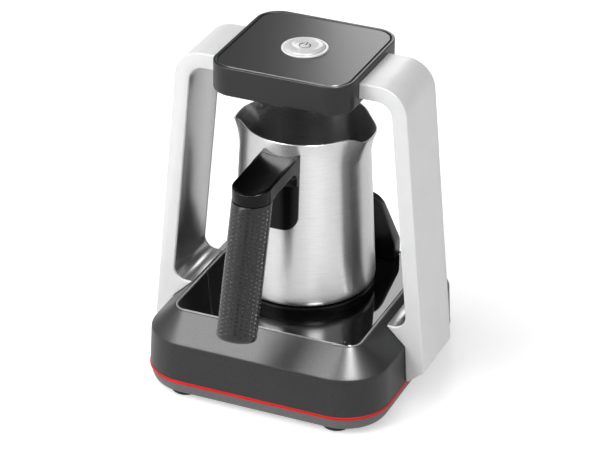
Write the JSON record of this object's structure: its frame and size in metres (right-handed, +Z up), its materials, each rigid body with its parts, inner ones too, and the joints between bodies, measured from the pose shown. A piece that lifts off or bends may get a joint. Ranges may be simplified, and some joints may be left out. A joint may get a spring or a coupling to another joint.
{
  "type": "electric turkish coffee maker",
  "caption": "Square heated base with a glass top and two legs carrying a push-button head over a loose steel coffee pot with side handle and pouring lips.",
  "frame": {"origin": "bottom centre of the whole object's box, on the surface that the feet stand on", "axes": "+Z up, -Y towards the user (the pot's handle points that way), +X to the user's right"},
  "size_m": [0.1744, 0.188, 0.2085],
  "materials": {
    "base_plastic": "fine satin grain",
    "bezel_plastic": "satin",
    "black_glass": "polished, opaque",
    "black_rubber": "matt",
    "guard_plastic": "gloss",
    "red_plastic": "gloss",
    "pan_plastic": "satin",
    "screw_steel": "zinc plated",
    "black_enamel": "semi-gloss heat-proof coating",
    "element_metal": "cast",
    "sheet_metal": "pressed",
    "cream_plastic": "matt",
    "probe_metal": "turned",
    "spring_steel": "drawn",
    "board_green": "lacquered board",
    "winding_yellow": "tape",
    "relay_blue": "moulded",
    "capacitor_sleeve": "shrunk sleeve",
    "terminal_green": "moulded",
    "part_black": "moulded",
    "lead_red": "silicone sleeve",
    "white_plastic": "satin",
    "silver_liner": "satin",
    "cable_grey": "flat cable",
    "head_plastic": "satin",
    "head_plate": "satin",
    "window_tint": "tinted window",
    "ring_white": "gloss",
    "button_white": "gloss",
    "icon_grey": "printed",
    "light_clear": "clear, unlit",
    "pot_steel": "brushed",
    "handle_black": "gloss",
    "grip_rubber": "dimpled"
  },
  "bodies": {
    "base": {"base_shell": "base_plastic", "rim_bezel": "bezel_plastic", "glass_plate": "black_glass", "glass_seal": "black_rubber", "rear_guard": "guard_plastic", "red_trim": "red_plastic", "bottom_pan": "pan_plastic", "feet": "black_rubber", "pan_screws": "screw_steel", "heating_plate": "black_enamel", "plate_seal": "black_rubber", "heating_element": "element_metal", "element_clamp": "sheet_metal", "heater_bracket": "sheet_metal", "bracket_screws": "screw_steel", "thermostat": "cream_plastic", "thermal_fuse": "cream_plastic", "probe_spring": "spring_steel", "main_board": "board_green", "board_screws": "screw_steel", "transformer": "winding_yellow", "power_relay": "relay_blue", "filter_capacitor": "capacitor_sleeve", "terminal_block": "terminal_green", "buzzer": "part_black", "signal_connector": "cream_plastic", "heater_leads": "lead_red", "cord_gland": "part_black", "cord_clamp": "sheet_metal", "left_leg_shell": "white_plastic", "left_leg_liner": "silver_liner", "right_leg_shell": "white_plastic", "right_leg_liner": "silver_liner", "leg_screws": "screw_steel", "signal_cable": "cable_grey", "head_housing": "head_plastic", "head_top_plate": "head_plate", "head_screws": "screw_steel", "head_board": "board_green", "head_board_screws": "screw_steel", "sensor_window": "window_tint", "foam_sensor": "part_black", "button_ring": "ring_white", "switch_body": "part_black", "button_spring": "spring_steel"},
    "pot": {"pot_body": "pot_steel", "handle_bracket": "handle_black", "thumb_plate": "handle_black", "grip_core": "part_black", "grip_sleeve": "grip_rubber", "handle_screws": "screw_steel"},
    "button": {"power_button": "button_white", "power_icon": "icon_grey", "status_light": "light_clear", "switch_plunger": "cream_plastic"},
    "probe": {"temperature_probe": "probe_metal"}
  },
  "joints": [
    {"name": "pot_slide", "type": "slide", "parent": "base", "child": "pot", "axis": [0, -1, 0], "range_m": [0, 0.16]},
    {"name": "button_press", "type": "slide", "parent": "base", "child": "button", "axis": [0, 0, -1], "range_m": [0, 0.0015], "stiffness_N_per_m": 500, "deforming": ["button_spring"]},
    {"name": "probe_press", "type": "slide", "parent": "base", "child": "probe", "axis": [0, 0, -1], "range_m": [0, 0.002], "stiffness_N_per_m": 300, "deforming": ["probe_spring"]}
  ]
}
